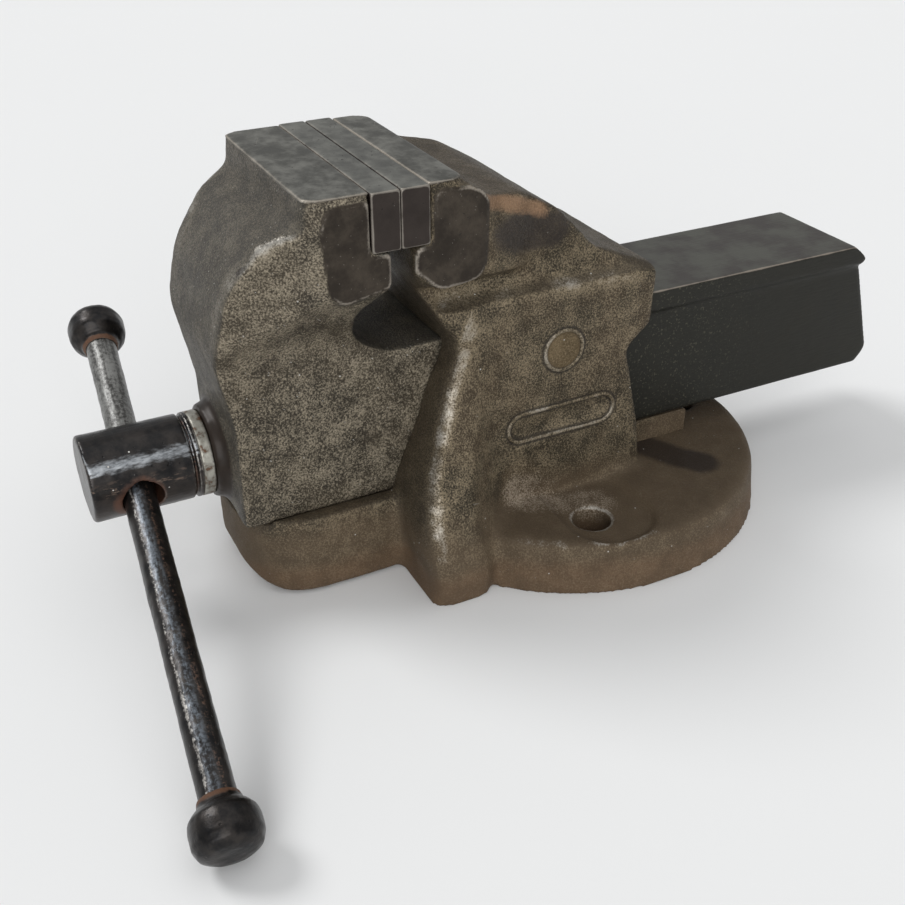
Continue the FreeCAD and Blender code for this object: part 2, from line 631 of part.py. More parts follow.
def keeper_screws():
    """Socket head screws down through the keeper into the base."""
    seat = keeper_seat()
    screws = []
    for x, y in keeper_screw_places():
        head = rod_z(KEEPER_SCREW_HEAD_R, seat, seat + KEEPER_SCREW_HEAD, x, y)
        socket = hexagon(x, y, seat + 1.5, KEEPER_SOCKET_ACROSS, KEEPER_SCREW_HEAD)
        shank = rod_z(KEEPER_SCREW_R, seat - KEEPER_SCREW_LENGTH, seat, x, y)
        screws.append(head.cut(socket).fuse(shank).removeSplitter())
    return Part.makeCompound(screws)


# ---- tommy bar ----

def bar_direction(square=False):
    """Along the bar towards the lower knob; square gives the drilled hole's direction."""
    drop = math.radians(BAR_DROP)
    lean = 0.0 if square else math.radians(BAR_LEAN)
    return V(math.cos(drop) * math.cos(lean), math.sin(lean), -math.sin(drop) * math.cos(lean))


def bar_point(distance, square=False):
    return V(0, BAR_HOLE_Y, SCREW_Z) + bar_direction(square) * distance


def bar_end(knob_at):
    return knob_at + math.copysign(KNOB_LENGTH / 2 - KNOB_CAP, knob_at)


def tommy_bar():
    low, high = bar_end(UPPER_KNOB_AT), bar_end(LOWER_KNOB_AT)
    return Part.makeCylinder(BAR_R, high - low, bar_point(low), bar_direction())


def knob(knob_at):
    """Round knob with a short skirt where it meets the bar; the bar's end is sunk in it."""
    outward = bar_direction() * math.copysign(1, knob_at)
    half = KNOB_LENGTH / 2
    profile = [(-half - KNOB_SKIRT, BAR_R), (-half - KNOB_SKIRT, BAR_R + 0.6), (-half, BAR_R + 2.2),
               (-half + 1, KNOB_R - 3.5), (-half + 4.5, KNOB_R - 0.6), (-half + 8, KNOB_R),
               (half - 7, KNOB_R), (half - 3, KNOB_R - 1.8), (half - 0.7, KNOB_R - 5.5),
               (half, KNOB_R - 9), (half, 0), (half - KNOB_CAP, 0), (half - KNOB_CAP, BAR_R)]
    return turned(profile, bar_point(knob_at), outward)


def main():
    front_plate_face = JAW_LINE - PLATE_GAP / 2
    rear_plate_face = JAW_LINE + PLATE_GAP / 2
    shapes = {
        "static_body": static_body(),
        "sliding_jaw": sliding_jaw(),
        "front_jaw_plate": jaw_plate(front_plate_face, -1),
        "rear_jaw_plate": jaw_plate(rear_plate_face, 1),
        "front_plate_screws": plate_screws(front_plate_face, -1),
        "rear_plate_screws": plate_screws(rear_plate_face, 1),
        "main_screw": main_screw(),
        "thrust_washer": ring(WASHER_R, SHANK_R + SCREW_FIT, washer_front(), washer_rear()),
        "spring_seat_washer": ring(SEAT_WASHER_R, SHANK_R + SCREW_FIT, INSIDE_WALL + SIDE_GAP,
                                   INSIDE_WALL + SIDE_GAP + SEAT_WASHER_THICKNESS),
        "take_up_spring": take_up_spring(),
        "retaining_collar": retaining_collar(),
        "collar_pin": collar_pin(),
        "main_nut": main_nut(),
        "nut_bolts": nut_bolts(),
        "nut_bolt_washers": nut_bolt_washers(),
        "nut_dowels": nut_dowels(),
        "slide_keeper": slide_keeper(),
        "keeper_screws": keeper_screws(),
        "tommy_bar": tommy_bar(),
        "lower_knob": knob(LOWER_KNOB_AT),
        "upper_knob": knob(UPPER_KNOB_AT),
    }
    os.makedirs("parts", exist_ok=True)
    for name, shape in shapes.items():
        size = shape.BoundBox
        print(f"{name}: {len(shape.Solids)} solid, valid {shape.isValid()}, "
              f"{size.XLength:.1f} x {size.YLength:.1f} x {size.ZLength:.1f}, "
              f"{shape.Volume / 1000:.1f} cm3")
        shape.exportStep(f"parts/{name}.step")
    print(f"{JAW_TRAVEL / SCREW_LEAD:.1f} turns of the screw open the jaws fully")


main()
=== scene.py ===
import itertools
import json
import math
from collections import namedtuple
import bmesh
import bpy
import numpy as np
from mathutils import Matrix, Vector


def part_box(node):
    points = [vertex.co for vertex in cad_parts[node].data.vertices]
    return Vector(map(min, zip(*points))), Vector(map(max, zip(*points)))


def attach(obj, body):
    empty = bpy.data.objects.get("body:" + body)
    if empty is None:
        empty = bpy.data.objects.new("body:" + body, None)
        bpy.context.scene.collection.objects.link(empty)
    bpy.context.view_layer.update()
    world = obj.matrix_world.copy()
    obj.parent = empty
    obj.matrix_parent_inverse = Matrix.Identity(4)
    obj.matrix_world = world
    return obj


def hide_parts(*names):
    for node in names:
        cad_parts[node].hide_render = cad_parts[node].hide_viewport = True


# Bench vise: worn cast iron, oil-blackened steel and a well used tommy bar, on a pale floor.
# Metres. +Z is up, the screw head faces -Y, and the slide runs back to +Y.

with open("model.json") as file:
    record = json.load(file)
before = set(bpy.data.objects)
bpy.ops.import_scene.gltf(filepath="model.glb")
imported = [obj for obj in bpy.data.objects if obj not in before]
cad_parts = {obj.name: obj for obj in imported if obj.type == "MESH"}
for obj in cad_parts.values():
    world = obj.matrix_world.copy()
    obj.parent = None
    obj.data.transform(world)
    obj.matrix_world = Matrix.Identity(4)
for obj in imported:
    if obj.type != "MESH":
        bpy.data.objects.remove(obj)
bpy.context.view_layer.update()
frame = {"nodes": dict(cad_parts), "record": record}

MM = 0.001

# Castings: the even mesh's step, how much it is thinned, and its fillets and lumps.
CASTING_VOXEL = 1.3 * MM
CASTING_TRIANGLES = 190000
CASTING_RELIEF = 0.30 * MM      # how proud a casting's sharpest edge stands
CASTING_ROUNDING = 16           # relaxing steps that soften its edges
FILLET_RELIEF = 0.10 * MM       # inner corners deeper than this get a larger fillet
FILLET_SEARCH = 4
FILLET_SPREAD = 9
FILLET_GROWTH = 1.04            # keeps a fillet's mask from fading as it spreads
FILLET_STEPS = 70
CASTING_LUMPS = ((0.30 * MM, 26 * MM, 1), (0.16 * MM, 9 * MM, 2), (0.11 * MM, 4 * MM, 3))

# Small pieces. Lumps are (height, size, seed) for each layer of unevenness.
SMALL_RELIEF = 0.11 * MM
HEAD_VOXEL = 0.7 * MM
KNOB_VOXEL = 0.6 * MM
PLATE_VOXEL = 0.6 * MM
FORGED_LUMPS = ((1.0, 8 * MM, 31), (0.5, 3 * MM, 32))
BAR_LUMPS = ((0.20 * MM, 16 * MM, 21), (0.16 * MM, 6 * MM, 22), (0.10 * MM, 2.6 * MM, 23))
BAR_WORN_BY = 0.15 * MM
BAR_STATIONS = 260
WELD_GAP = 0.002 * MM
LATTICE_CELLS = 32

# Square thread behind the screw head.
THREAD_LEAD = 6.0 * MM
THREAD_CREST = 14.0 * MM
THREAD_ROOT = 12.3 * MM
THREAD_RELIEF = 0.3 * MM
THREAD_SIDES = 40
THREAD_STEPS = 12               # stations in each turn
THREAD_TIP = 3 * MM             # length of the taper at the thread's end
SHANK_RADIUS = 15.0 * MM

# Stage.
CAMERA_PLACE = (0.5354, -0.3456, 0.4081)
CAMERA_TURN = 63.2              # degrees from +Y towards -X
CAMERA_DROP = 31.75             # degrees below level
CAMERA_LENS = 45.7
FLOOR_HALF = 8.0
PAPER_CLOUD = 0.4
PAPER_DEPTH = 0.001 * MM
SKY_COLOUR = (0.985, 0.99, 1.0, 1)
SKY_STRENGTH = 0.42
SUNS = (("key", (-1.5, -1.4, 2.3), 22, 1.30),
        ("overhead", (0.2, 0.7, 3.2), 60, 0.45),
        ("camera_fill", (1.9, -0.85, 1.0), 50, 1.45))


# ---- places taken from the frame ----

JOINTS = {joint["name"]: joint for joint in frame["record"]["behaviour"]["joints"]}
PLATE_LOW, PLATE_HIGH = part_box("rear_jaw_plate")
SCREW_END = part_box("main_screw")[1][1]
WASHER_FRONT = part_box("thrust_washer")[0][1]
SCREW_AXIS = Vector(JOINTS["screw_turn"]["pos_m"])
BAR_AXIS = Vector(JOINTS["handle_slide"]["axis"]).normalized()
JAW_LINE = PLATE_LOW[1]
JAW_TOP = PLATE_HIGH[2]
PAD_FACE = PLATE_HIGH[0]
SLIDE_START = JAW_LINE + 40 * MM    # behind this, the sliding jaw is only its slide

# Blank marks on the body's side, and the screw's boss on the jaw. Outlines are in millimetres.
BODY_SIDE = 55.0
MARK_STEPS = 24                 # for each half of a mark's outline
MARK_RADIUS = 1.3 * MM          # of the raised bead round each mark
MARK_SINK = 0.50 * MM
MARK_REACH = 2 * MM             # how far from the bead the side's height is looked for
# Marks given to the beads: worn rims, and painted highlight that makes each bead a bright line.
MARK_WEAR_AND_HIGHLIGHT = (("edge", 0.12), ("rub", 1.0), ("scuff_and_highlight", 0.9))
BOSS_END = -218.5 * MM          # the screw's boss stands out in front of this
BOSS_REACH = 28 * MM


def mark_outline(y, z, straight, radius):
    """Round a ring (straight is 0) or a long label whose middle is on the body's side."""
    outline = []
    for side in (1, -1):
        for i in range(MARK_STEPS):
            angle = math.pi * ((i + 0.5) / MARK_STEPS - 0.5)
            along = side * (straight + radius * math.cos(angle))
            outline.append((BODY_SIDE, y + along, z + side * radius * math.sin(angle)))
    return outline


RING = mark_outline(-34.0, 122.5, 0.0, 12.0)
LABEL = mark_outline(-33.0, 79.0, 26.0, 9.0)

# Lines of old wear, dust, painted shade, shadow and highlight on the castings, in millimetres,
# each with how far it reaches.
# They are painted on both sides of the vise, apart from what belongs to the marks.
# Painted shade along each mark's bead.
MARK_SHADE = [(mark + mark[:1], 4.2) for mark in (RING, LABEL)]
JAW_SHOULDER = ([(54, -185, 216), (48, -201, 208), (39, -211, 195), (34, -221, 170)], 9)
JAW_FOOT = ([(36, -218, 54), (37, -150, 50)], 5)
SLIDE_EDGE = ([(36, 40, 136), (36, 225, 136)], 5)
BODY_FLARE = ([(57, -92, 153), (57, -100, 125), (64, -114, 91), (73, -124, 67),
               (89, -126, 32)], 8)
# Scuffed ledge, also given painted highlight where light falls on it.
BODY_LEDGE = ([(48, -104, 163), (54, 10, 160)], 10)
ROUNDEL = ([(55, -34, 122), (55, -34, 123)], 15)
# Painted shade in the throat between the jaws.
THROAT = ([(57, -131, 158), (0, -131, 158)], 27)
SHOULDER_FLAW = ([(45.5, -205, 199), (43, -210, 197)], 2.8)
SPOT_FACE = ([(88, -24, 31), (88, -20, 31)], 62)
BASE_RIM = ([(79, -87, 31), (98, -70, 30), (111, -49, 30), (118, -4, 31), (105, 48, 31),
             (80, 86, 31), (0, 120, 31)], 7)
BODY_RIDGE = ([(62, -86, 218), (49, -52, 205), (20, -10, 178)], 9)
BASE_DUST = ([(58, -62, 38), (74, -18, 31)], 24)
# Painted shadow on the base top beside the slide.
SLIDE_SHADOW = ([(36, 40, 31), (60, 52, 31), (70, 60, 31)], 20)
PAD_SHADE = ([(50, -80, 198), (50, -40, 190)], 20)


# ---- mesh helpers ----

def linked(name, mesh):
    piece = bpy.data.objects.new(name, mesh)
    bpy.context.collection.objects.link(piece)
    return piece


def finished_mesh(name, shape):
    """A new piece from a bmesh, which is freed."""
    if shape.faces:
        bmesh.ops.recalc_face_normals(shape, faces=shape.faces)
    mesh = bpy.data.meshes.new(name)
    shape.to_mesh(mesh)
    shape.free()
    return linked(name, mesh)


def settle(piece):
    """Applies the piece's modifiers to its mesh."""
    graph = bpy.context.evaluated_depsgraph_get()
    mesh = bpy.data.meshes.new_from_object(piece.evaluated_get(graph))
    piece.modifiers.clear()
    piece.data = mesh


def node_copy(name, node):
    """A new piece with a welded copy of a CAD node's mesh."""
    piece = linked(name, frame["nodes"][node].data.copy())
    piece.data.materials.clear()
    weld = bmesh.new()
    weld.from_mesh(piece.data)
    bmesh.ops.remove_doubles(weld, verts=weld.verts, dist=WELD_GAP)
    weld.to_mesh(piece.data)
    weld.free()
    return piece


def remeshed(piece, voxel):
    """Gives the piece an even mesh, fine enough to be rounded and dented."""
    remesh = piece.modifiers.new("even", "REMESH")
    remesh.mode = "VOXEL"
    remesh.voxel_size = voxel
    settle(piece)


def thinned(piece, triangles):
    """Drops triangles where the surface is nearly flat."""
    piece.data.calc_loop_triangles()
    thin = piece.modifiers.new("thin", "DECIMATE")
    thin.ratio = min(1.0, triangles / len(piece.data.loop_triangles))
    settle(piece)


def smooth_shaded(piece):
    piece.data.polygons.foreach_set("use_smooth", [True] * len(piece.data.polygons))
    piece.data.update()


def points_of(piece):
    points = np.empty(len(piece.data.vertices) * 3)
    piece.data.vertices.foreach_get("co", points)
    return points.reshape(-1, 3)


def normals_of(piece):
    normals = np.empty(len(piece.data.vertices) * 3)
    piece.data.vertex_normals.foreach_get("vector", normals)
    return normals.reshape(-1, 3)


def put_points(piece, points):
    piece.data.vertices.foreach_set("co", points.ravel())
    piece.data.update()


def edges_of(piece):
    edges = np.empty(len(piece.data.edges) * 2, dtype=np.int64)
    piece.data.edges.foreach_get("vertices", edges)
    return edges.reshape(-1, 2)


def neighbour_mean(values, edges):
    """Mean of each vertex's neighbours, for an array with one column per coordinate."""
    count = len(values)
    first, second = edges[:, 0], edges[:, 1]
    degree = np.bincount(first, minlength=count) + np.bincount(second, minlength=count)
    total = np.empty_like(values)
    for column in range(values.shape[1]):
        total[:, column] = (np.bincount(first, values[second, column], count)
                            + np.bincount(second, values[first, column], count))
    return total / np.maximum(degree, 1)[:, None]


def rounded(points, edges, softness, steps):
    """Relaxes the surface; softness is how far each vertex may go, from 0 to 1."""
    for _ in range(steps):
        points = points + 0.5 * softness[:, None] * (neighbour_mean(points, edges) - points)
    return points


def lumps(points, size, seed):
    """Smooth random height from -1 to 1 that changes over about the given size."""
    lattice = np.random.default_rng(seed).uniform(-1, 1, (LATTICE_CELLS,) * 3)
    where = points / size
    cell = np.floor(where).astype(int)
    part = where - cell
    part = part * part * (3 - 2 * part)
    height = np.zeros(len(points))
    for corner in itertools.product((0, 1), repeat=3):
        share = np.prod(np.where(corner, part, 1 - part), axis=1)
        near = (cell + corner) % LATTICE_CELLS
        height += share * lattice[near[:, 0], near[:, 1], near[:, 2]]
    return height


def layered_lumps(points, layers):
    return sum(height * lumps(points, size, seed) for height, size, seed in layers)


def ramp_up(values, low, high):
    """Rises smoothly from 0 at low to 1 at high."""
    part = np.clip((values - low) / (high - low), 0, 1)
    return part * part * (3 - 2 * part)


def paint(piece, name, values):
    """Stores one number per vertex for the materials to read."""
    layer = piece.data.attributes.new(name, "FLOAT", "POINT")
    layer.data.foreach_set("value", np.asarray(values, dtype=np.float32))


def paint_relief(piece, depth, steps=3):
    """Stores where the surface is worn proud (edge) or sheltered (nook)."""
    points, edges = points_of(piece), edges_of(piece)
    relaxed = rounded(points, edges, np.ones(len(points)), steps)
    relief = np.einsum("ij,ij->i", points - relaxed, normals_of(piece)) / depth
    paint(piece, "edge", np.clip(relief, 0, 1))
    paint(piece, "nook", np.clip(-relief, 0, 1))


def hollows(piece, edges):
    """1 in inner corners and beside them."""
    points = points_of(piece)
    relaxed = rounded(points, edges, np.ones(len(points)), FILLET_SEARCH)
    sunk = -np.einsum("ij,ij->i", points - relaxed, normals_of(piece)) / FILLET_RELIEF
    sunk = np.clip(sunk, 0, 1)
    for _ in range(FILLET_SPREAD):
        sunk = np.maximum(sunk, neighbour_mean(sunk[:, None], edges)[:, 0] * FILLET_GROWTH)
    return np.clip(sunk, 0, 1)


def along_line(points, line):
    """1 beside a line of wear, fading to 0 at its reach."""
    path, reach = line
    places = np.array(path) * MM
    where = points.copy()
    where[:, 0] = np.abs(where[:, 0])
    gap = np.full(len(points), np.inf)
    for start, end in zip(places, places[1:]):
        run = end - start
        share = np.clip((where - start) @ run / (run @ run), 0, 1)
        gap = np.minimum(gap, np.linalg.norm(where - start - share[:, None] * run, axis=1))
    return 1 - ramp_up(gap, 0.2 * reach * MM, reach * MM)


def paint_lines(piece, name, lines, marked_side_only=False):
    points = points_of(piece)
    amount = np.max([along_line(points, line) for line in lines], axis=0)
    if marked_side_only:
        amount = amount * (points[:, 0] > 0)
    paint(piece, name, amount)


def circle(sides):
    return [2 * math.pi * side / sides for side in range(sides)]


def skin_rings(shape, rings, closed=False):
    """Faces from each ring of vertices to the next, with two end caps unless closed."""
    following = rings[1:] + rings[:1] if closed else rings[1:]
    for low, high in zip(rings, following):
        for side in range(len(low)):
            after = (side + 1) % len(low)
            shape.faces.new((low[side], low[after], high[after], high[side]))
    if not closed:
        shape.faces.new(list(reversed(rings[0])))
        shape.faces.new(rings[-1])


def lathe(name, profile, start, direction, sides):
    """Closed piece turned about a line; profile is (distance along it, radius)."""
    turn = Vector((0, 0, 1)).rotation_difference(Vector(direction)).to_matrix().to_4x4()
    place = Matrix.Translation(Vector(start)) @ turn
    shape = bmesh.new()
    rings = []
    for along, radius in profile:
        ring = [Vector((radius * math.cos(angle), radius * math.sin(angle), along))
                for angle in circle(sides)]
        rings.append([shape.verts.new(place @ point) for point in ring])
    skin_rings(shape, rings)
    return finished_mesh(name, shape)


def closed_bead(name, path, radius, sides=10):
    """Half-sunk round bead along a closed path on the side of the body."""
    shape = bmesh.new()
    rings = []
    outward = Vector((1, 0, 0))
    for i, point in enumerate(path):
        along = (Vector(path[(i + 1) % len(path)]) - Vector(path[i - 1])).normalized()
        across = along.cross(outward)
        rings.append([shape.verts.new(Vector(point) + radius * (math.cos(angle) * outward
                                                                + math.sin(angle) * across))
                      for angle in circle(sides)])
    skin_rings(shape, rings, closed=True)
    piece = finished_mesh(name, shape)
    smooth_shaded(piece)
    return piece


def softened(piece, voxel, steps, dent):
    """Even mesh with rounded edges and shallow dents, its relief painted on."""
    remeshed(piece, voxel)
    points = rounded(points_of(piece), edges_of(piece), np.ones(len(piece.data.vertices)), steps)
    put_points(piece, points)
    height = dent * layered_lumps(points, FORGED_LUMPS)
    put_points(piece, points + normals_of(piece) * height[:, None])
    smooth_shaded(piece)
    paint_relief(piece, SMALL_RELIEF)
    return piece


def bevelled(piece, width):
    """Merges flat triangles and rounds the edges slightly, as filing does."""
    flat = piece.modifiers.new("flat", "DECIMATE")
    flat.decimate_type = "DISSOLVE"
    flat.angle_limit = math.radians(1)
    bevel = piece.modifiers.new("filed", "BEVEL")
    bevel.width = width
    bevel.segments = 2
    bevel.limit_method = "ANGLE"
    bevel.angle_limit = math.radians(35)
    bevel.use_clamp_overlap = True
    settle(piece)


# ---- castings ----

def machined_share(points):
    """1 on the flats that were ground: the jaw tops and the pads at their ends."""
    x, z = np.abs(points[:, 0]), points[:, 2]
    top = ramp_up(z, JAW_TOP - 1.4 * MM, JAW_TOP - 0.7 * MM)
    pad_face = ramp_up(x, PAD_FACE - 1.1 * MM, PAD_FACE - 0.6 * MM)
    above_pad_foot = ramp_up(z, 160 * MM, 170 * MM)
    return np.maximum(top, pad_face * above_pad_foot)


def casting(name, node, softness):
    """Sand-cast copy of a node: even mesh, soft edges, a lumpy skin and ground flats."""
    piece = node_copy(name, node)
    remeshed(piece, CASTING_VOXEL)
    edges = edges_of(piece)
    points = points_of(piece)
    soft = softness(points) * (1 - 0.93 * machined_share(points))
    put_points(piece, rounded(points, edges, soft, CASTING_ROUNDING))
    corners = hollows(piece, edges)
    put_points(piece, rounded(points_of(piece), edges, soft * corners, FILLET_STEPS))
    skin = layered_lumps(points, CASTING_LUMPS)
    put_points(piece, points_of(piece) + normals_of(piece) * (skin * soft)[:, None])
    paint_relief(piece, CASTING_RELIEF)
    thinned(piece, CASTING_TRIANGLES)
    smooth_shaded(piece)
    paint(piece, "ground", machined_share(points_of(piece)))
    return piece


def body_softness(points):
    """The underside, the tunnel and the bolt holes' spot faces keep their machined edges."""
    x, y, z = np.abs(points[:, 0]), points[:, 1], points[:, 2]
    under = 1 - ramp_up(z, 0.5 * MM, 3 * MM)
    tunnel = ((x < 37.5 * MM) & (z > 45 * MM) & (z < 137 * MM)).astype(float)
    from_bolt = np.hypot(x - 88 * MM, y + 26 * MM)
    near_bolt = 1 - ramp_up(from_bolt, 38 * MM, 50 * MM)
    near_base_top = 1 - ramp_up(z, 33 * MM, 42 * MM)
    spot_face = near_bolt * near_base_top
    return 1 - np.max([0.9 * under, 0.9 * tunnel, 0.85 * spot_face], axis=0)


def jaw_softness(points):
    """The slide behind the jaw is planed, so its edges stay sharper."""
    slide = ramp_up(points[:, 1], SLIDE_START - 12 * MM, SLIDE_START)
    return 1 - 0.78 * slide


def body_casting():
    """The base, its cheeks and the static jaw, with their old wear and dust, painted shade and
    shadow, and painted highlight on the ledge.
    """
    piece = casting("body_casting", "static_body", body_softness)
    # The shade lines are painted shade and shadow; the scuff on the ledge is also painted
    # highlight.
    for name, lines in (("rub", [BASE_RIM, BODY_FLARE, SPOT_FACE]),
                        ("scuff_and_highlight", [BODY_FLARE, BODY_LEDGE]), ("dust", [BASE_DUST]),
                        ("shade", [SLIDE_SHADOW, PAD_SHADE, THROAT]), ("copper", [BODY_RIDGE])):
        paint_lines(piece, name, lines)
    paint_lines(piece, "gilt", [ROUNDEL], marked_side_only=True)
    # Painted shade along the marks' beads, on the marked side only.
    paint_lines(piece, "oil_and_bead_shade", MARK_SHADE, marked_side_only=True)
    return piece


def jaw_casting():
    """The front jaw and its slide, worn at the shoulder, with an oily boss for the screw."""
    piece = casting("jaw_casting", "sliding_jaw", jaw_softness)
    for name, lines in (("rub", [JAW_SHOULDER, JAW_FOOT, SLIDE_EDGE]), ("scuff_and_highlight", [JAW_SHOULDER]),
                        ("shade", [THROAT, SHOULDER_FLAW])):
        paint_lines(piece, name, lines)
    points = points_of(piece)
    in_front = 1 - ramp_up(points[:, 1], BOSS_END - 2 * MM, BOSS_END)
    from_screw = distance_from(points, SCREW_AXIS, (0, 1, 0))
    near_screw = 1 - ramp_up(from_screw, BOSS_REACH, BOSS_REACH + 4 * MM)
    paint(piece, "boss", in_front * near_screw)
    return piece


def cheek_marks(body):
    """A blank raised ring and a blank rimmed label that follow the body's side."""
    points = points_of(body)
    marks = []
    for name, path in (("cheek_ring", RING), ("cheek_label", LABEL)):
        bed = []
        for _, y, z in path:
            offset = np.abs(points[:, 1:] - np.array((y, z)) * MM).max(axis=1)
            bed.append((points[offset < MARK_REACH, 0].max() - MARK_SINK, y * MM, z * MM))
        bead = closed_bead(name, bed, MARK_RADIUS)
        # These marks paint each bead bright, as a worn rim and as painted highlight.
        for wear_and_highlight, amount in MARK_WEAR_AND_HIGHLIGHT:
            paint(bead, wear_and_highlight, np.full(len(bead.data.vertices), amount))
        marks.append(bead)
    return marks


# ---- screw, bar and knobs ----

def screw_head():
    """The forged head and neck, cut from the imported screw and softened."""
    piece = node_copy("screw_head", "main_screw")
    cut = bmesh.new()
    cut.from_mesh(piece.data)
    everything = list(cut.verts) + list(cut.edges) + list(cut.faces)
    inside_washer = Vector((0, WASHER_FRONT + 2 * MM, 0))
    result = bmesh.ops.bisect_plane(cut, geom=everything, plane_co=inside_washer,
                                    plane_no=(0, 1, 0), clear_outer=True)
    rim = [item for item in result["geom_cut"] if isinstance(item, bmesh.types.BMEdge)]
    bmesh.ops.contextual_create(cut, geom=rim)
    cut.to_mesh(piece.data)
    cut.free()
    softened(piece, HEAD_VOXEL, 3, 0.13 * MM)
    from_bar = distance_from(points_of(piece), SCREW_AXIS, BAR_AXIS)
    paint(piece, "collar", 1 - ramp_up(from_bar, 11 * MM, 20 * MM))
    return piece


def thread_radius(y, turn, start, end):
    """Radius of the shank and thread at y, part of a turn round the screw."""
    if y < start:
        return SHANK_RADIUS
    phase = ((y - start) / THREAD_LEAD - turn) % 1.0
    flank = min(1.0, max(0.0, (abs(phase - 0.5) - 0.19) / 0.06))
    radius = THREAD_ROOT + (THREAD_CREST - THREAD_ROOT) * flank
    if y > end - THREAD_TIP:
        radius = min(radius, THREAD_CREST - (y - end + THREAD_TIP))
    return radius


def screw_thread():
    """Shank and square thread behind the head."""
    start, end = JAW_LINE - 3 * MM, SCREW_END
    shank_end = start - 3 * MM
    stations = [WASHER_FRONT + 1.5 * MM, shank_end, shank_end + 0.1 * MM]
    count = int((end - start) / (THREAD_LEAD / THREAD_STEPS))
    stations += [start + (end - start) * i / count for i in range(count + 1)]
    shape = bmesh.new()
    rings = []
    for y in stations:
        ring = []
        for side, angle in enumerate(circle(THREAD_SIDES)):
            radius = thread_radius(y, side / THREAD_SIDES, start, end)
            ring.append(shape.verts.new((radius * math.cos(angle), y,
                                         SCREW_AXIS.z + radius * math.sin(angle))))
        rings.append(ring)
    skin_rings(shape, rings)
    piece = finished_mesh("screw_thread", shape)
    paint_relief(piece, THREAD_RELIEF)
    return piece


def span_along(node, start, direction):
    """Lowest and highest distance of a node along a line."""
    points = points_of(frame["nodes"][node])
    distances = (points - np.array(start)) @ np.array(direction)
    return distances.min(), distances.max()


def distance_from(points, start, direction):
    """How far each point is from a line."""
    offset = points - np.array(start)
    along = offset @ np.array(direction)
    return np.linalg.norm(offset - along[:, None] * np.array(direction), axis=1)


def radius_about(node, start, direction):
    return distance_from(points_of(frame["nodes"][node]), start, direction).max()


def tommy_bar():
    """Round bar, dented and slightly uneven, with its ends sunk in the knobs."""
    low, high = span_along("tommy_bar", SCREW_AXIS, BAR_AXIS)
    bar_radius = radius_about("tommy_bar", SCREW_AXIS, BAR_AXIS)
    profile = [(low + (high - low) * i / BAR_STATIONS, bar_radius)
               for i in range(BAR_STATIONS + 1)]
    piece = lathe("bar", profile, SCREW_AXIS, BAR_AXIS, sides=72)
    points = points_of(piece)
    dents = layered_lumps(points, BAR_LUMPS) - BAR_WORN_BY
    put_points(piece, points + normals_of(piece) * dents[:, None])
    smooth_shaded(piece)
    paint_relief(piece, SMALL_RELIEF)
    return piece


def knob(name, node):
    """End knob, knocked about, with a collar of rust where the bar enters it."""
    piece = softened(node_copy(name, node), KNOB_VOXEL, 5, 0.22 * MM)
    points = points_of(piece)
    away = np.abs((points - np.array(SCREW_AXIS)) @ np.array(BAR_AXIS))
    bar_radius = radius_about("tommy_bar", SCREW_AXIS, BAR_AXIS)
    from_bar = distance_from(points, SCREW_AXIS, BAR_AXIS) - bar_radius
    inner = 1 - ramp_up(away, away.min() + 1 * MM, away.min() + 6 * MM)
    paint(piece, "collar", inner * (1 - ramp_up(from_bar, 0.5 * MM, 5 * MM)))
    return piece


# ---- materials ----

Layer = namedtuple("Layer", "colour roughness metallic relief")
CastColours = namedtuple("CastColours", "dark warm speck front")


class Value:
    """A number on its way through a material; operators add the Math nodes."""

    def __init__(self, finish, socket):
        self.finish = finish
        self.socket = socket

    def maths(self, operation, first, second):
        return self.finish.node("ShaderNodeMath", {"operation": operation}, {0: first, 1: second})

    def __add__(self, other):
        return self.maths("ADD", self, other)

    def __radd__(self, other):
        return self.maths("ADD", other, self)

    def __sub__(self, other):
        return self.maths("SUBTRACT", self, other)

    def __rsub__(self, other):
        return self.maths("SUBTRACT", other, self)

    def __mul__(self, other):
        return self.maths("MULTIPLY", self, other)

    def __rmul__(self, other):
        return self.maths("MULTIPLY", other, self)

    def __abs__(self):
        return self.finish.node("ShaderNodeMath", {"operation": "ABSOLUTE"}, {0: self})


